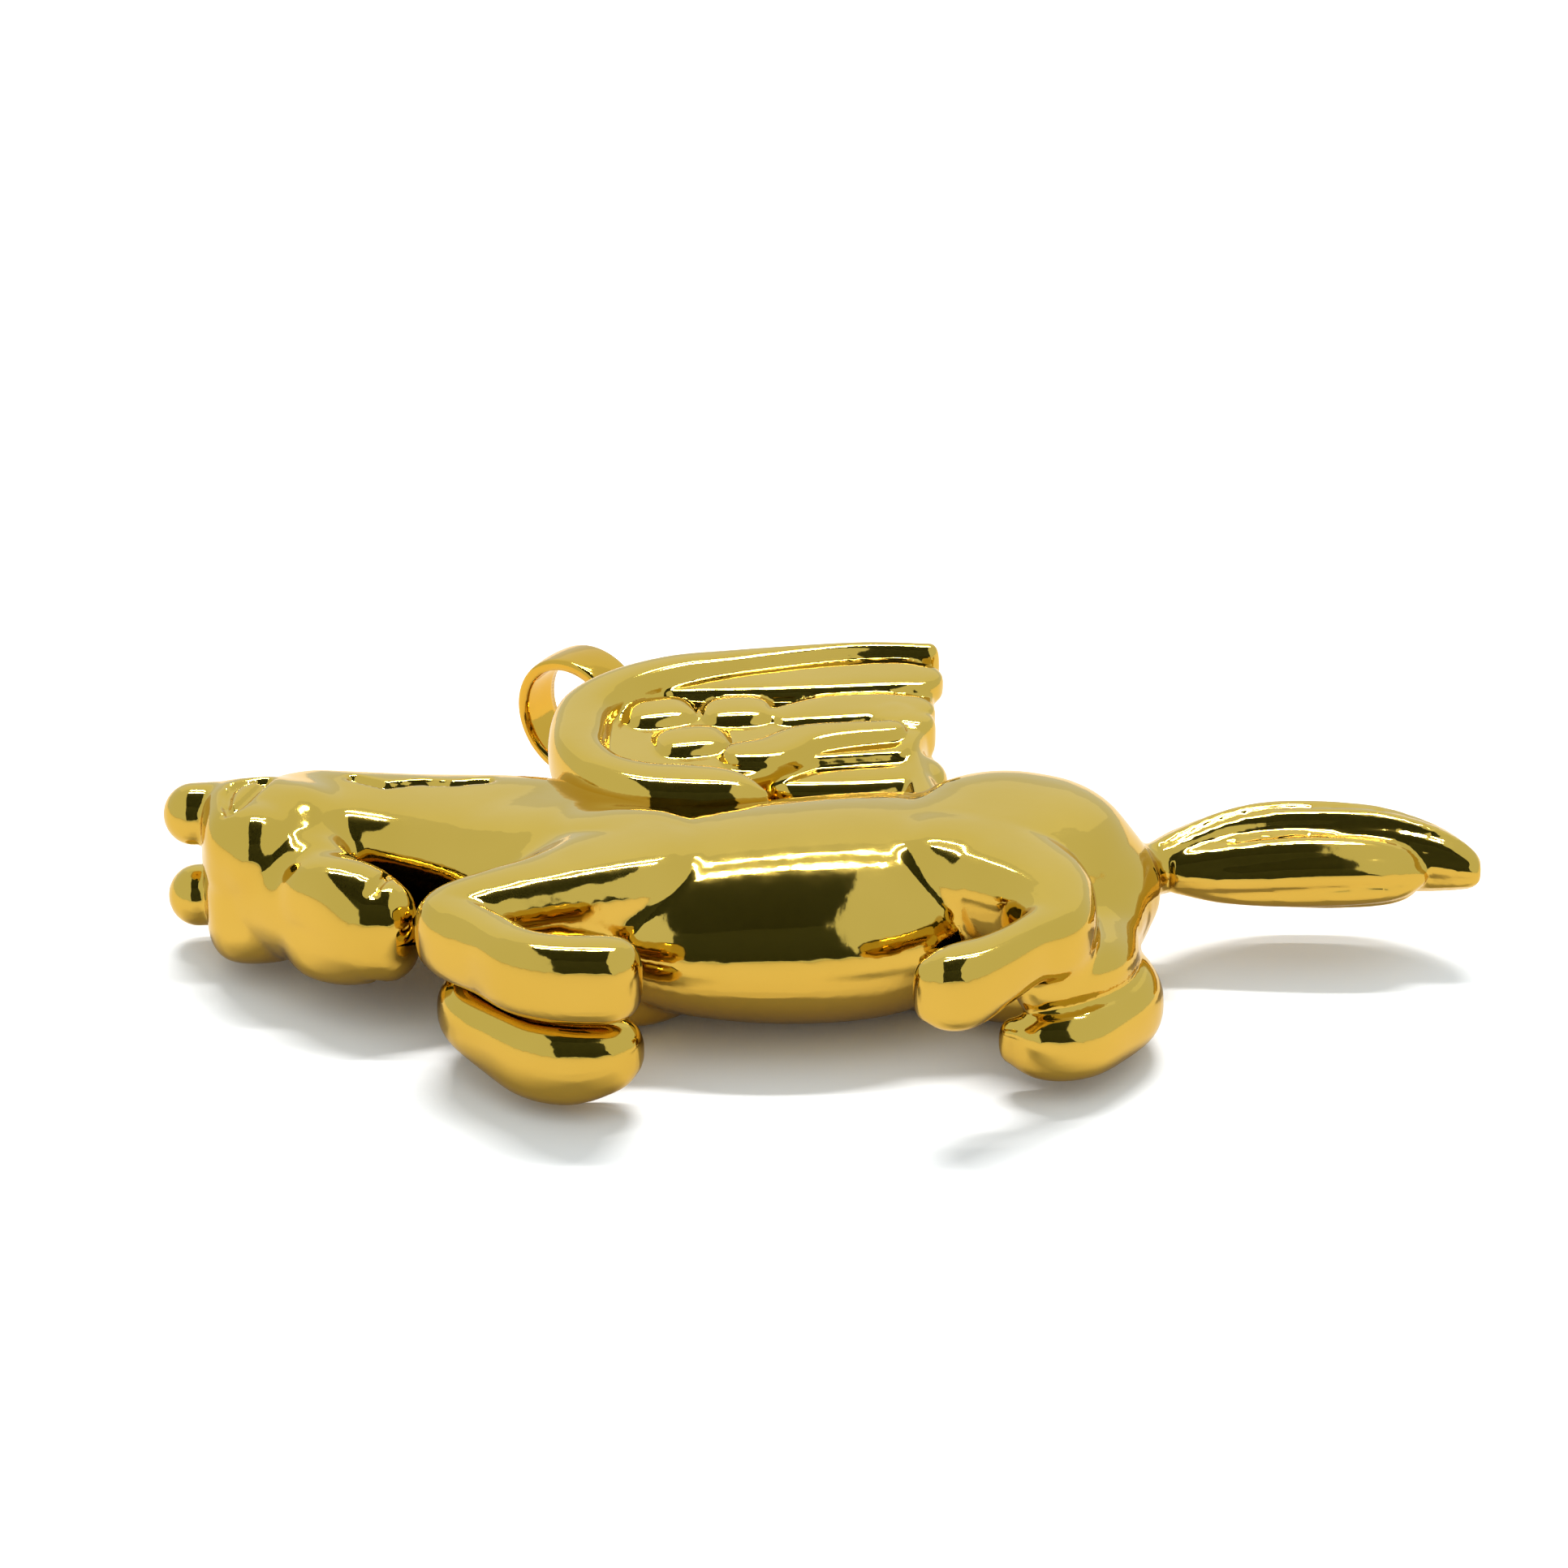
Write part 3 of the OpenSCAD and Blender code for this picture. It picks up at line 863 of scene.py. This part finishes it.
def plain_floor():
    corners = np.array([(-1, -1, 0), (1, -1, 0), (1, 1, 0), (-1, 1, 0)])
    floor = new_object("floor", (corners * FLOOR_REACH - [0, 0, FLOOR_DROP]) * MM, [(0, 1, 2, 3)])
    floor.data.materials.append(matte("pale_floor", FLOOR_COLOUR, 0.85))


def plain_world():
    world = bpy.data.worlds.new("studio")
    bpy.context.scene.world = world
    world.use_nodes = True
    sky = world.node_tree.nodes["Background"]
    sky.inputs["Color"].default_value = SKY_COLOUR
    sky.inputs["Strength"].default_value = 1.0


def place_camera():
    data = bpy.data.cameras.new("camera")
    data.sensor_width = SENSOR_WIDTH
    data.lens = FOCAL_LENGTH
    data.clip_start = 0.005
    data.clip_end = 20.0
    camera = bpy.data.objects.new("camera", data)
    bpy.context.scene.collection.objects.link(camera)
    elevation = math.radians(VIEW_ELEVATION)
    back = np.array([0.0, -math.cos(elevation), math.sin(elevation)])
    up = np.array([0.0, math.sin(elevation), math.cos(elevation)])
    place = TARGET + DISTANCE * back + [ASIDE, 0, 0] + RAISED * up
    camera.location = Vector(place * MM)
    camera.rotation_euler = (math.pi / 2 - elevation, 0, 0)
    bpy.context.scene.camera = camera


def area_light(name, place, size, power):
    """A rectangular light that shines on the middle of the floor."""
    data = bpy.data.lights.new(name, "AREA")
    data.shape = "RECTANGLE"
    data.size, data.size_y = size[0] * MM, size[1] * MM
    data.energy = power
    obj = bpy.data.objects.new(name, data)
    bpy.context.scene.collection.objects.link(obj)
    obj.location = Vector(place) * MM
    obj.rotation_euler = (Vector((0, 0, 0)) - Vector(place)).to_track_quat("-Z", "Y").to_euler()
    return obj


def place_lights():
    for i in range(LAMPS):
        x = LAMP_GAP * (i - LAMPS // 2)
        area_light("strip_%d" % i, (x, LAMP_Y, LAMP_Z), LAMP_SIZE, LAMP_POWER)
    area_light("strip_back", (0, 190, 325), (200, 9), 0.4)
    area_light("behind", (0, 330, 230), (520, 240), 0.05)
    fill = area_light("floor_fill", (0, 0, 700), (600, 600), 0.6)
    fill.visible_glossy = False


plain_floor()
plain_world()
place_camera()
bpy.context.scene.view_settings.view_transform = "Standard"
for name, (colour, corners) in CARDS.items():
    plain_card(name, corners, colour)
place_lights()
